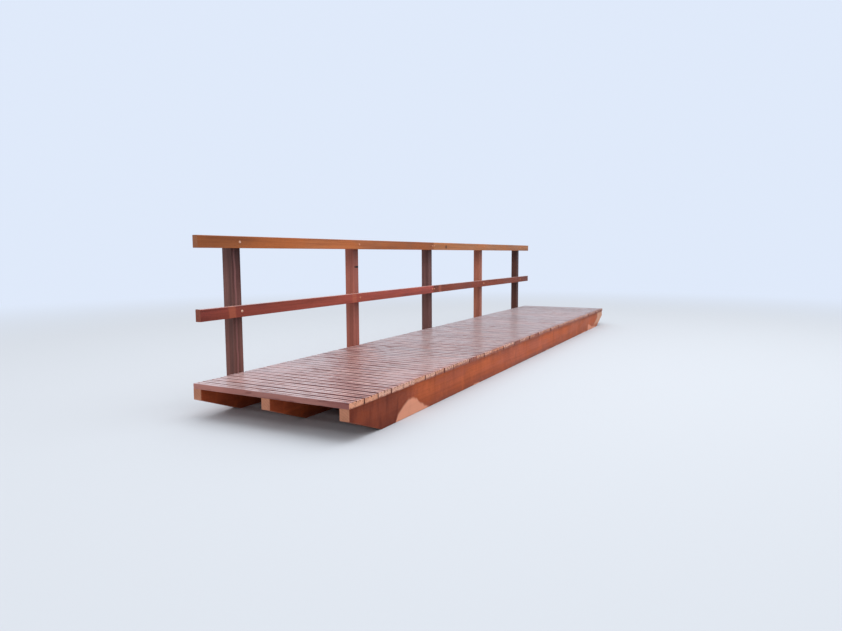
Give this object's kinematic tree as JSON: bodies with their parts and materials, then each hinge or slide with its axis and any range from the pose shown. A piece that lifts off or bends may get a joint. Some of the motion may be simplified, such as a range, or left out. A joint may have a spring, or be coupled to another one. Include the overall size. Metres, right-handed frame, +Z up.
{
  "type": "wooden footbridge",
  "caption": "Straight timber footbridge with a grooved plank deck across beams with slanted ends, and a post railing with two rails along one side.",
  "frame": {"origin": "on the underside of the middle beam, half way along the bridge, on the level that the beams stand on", "axes": "+X along the bridge from its near end to its far end, +Y across it towards the railing, +Z up"},
  "size_m": [7.026, 1.374, 1.246],
  "materials": {
    "deck_timber": "wet grooved hardwood, red-brown",
    "beam_timber": "wet sawn hardwood, orange-brown",
    "post_timber": "wet planed hardwood, dark red-brown",
    "rail_timber": "wet planed hardwood, red-brown",
    "bolt_steel": "galvanised"
  },
  "bodies": {
    "root": {"cross_piece_1": "beam_timber", "cross_piece_2": "beam_timber", "cross_piece_3": "beam_timber", "cross_piece_4": "beam_timber", "cross_piece_5": "beam_timber", "cross_piece_6": "beam_timber", "deck_planks_01": "deck_timber", "deck_planks_02": "deck_timber", "deck_planks_03": "deck_timber", "deck_planks_04": "deck_timber", "deck_planks_05": "deck_timber", "deck_planks_06": "deck_timber", "deck_planks_07": "deck_timber", "deck_planks_08": "deck_timber", "deck_planks_09": "deck_timber", "deck_planks_10": "deck_timber", "deck_planks_11": "deck_timber", "deck_planks_12": "deck_timber", "deck_planks_13": "deck_timber", "deck_planks_14": "deck_timber", "deck_planks_15": "deck_timber", "deck_planks_16": "deck_timber", "deck_planks_17": "deck_timber", "deck_planks_18": "deck_timber", "deck_planks_19": "deck_timber", "deck_planks_20": "deck_timber", "deck_planks_21": "deck_timber", "deck_planks_22": "deck_timber", "lower_rail": "rail_timber", "middle_beam": "beam_timber", "open_side_beam": "beam_timber", "post_1": "post_timber", "post_2": "post_timber", "post_3": "post_timber", "post_4": "post_timber", "post_5": "post_timber", "rail_side_beam": "beam_timber", "top_rail": "rail_timber"}
  },
  "joints": []
}
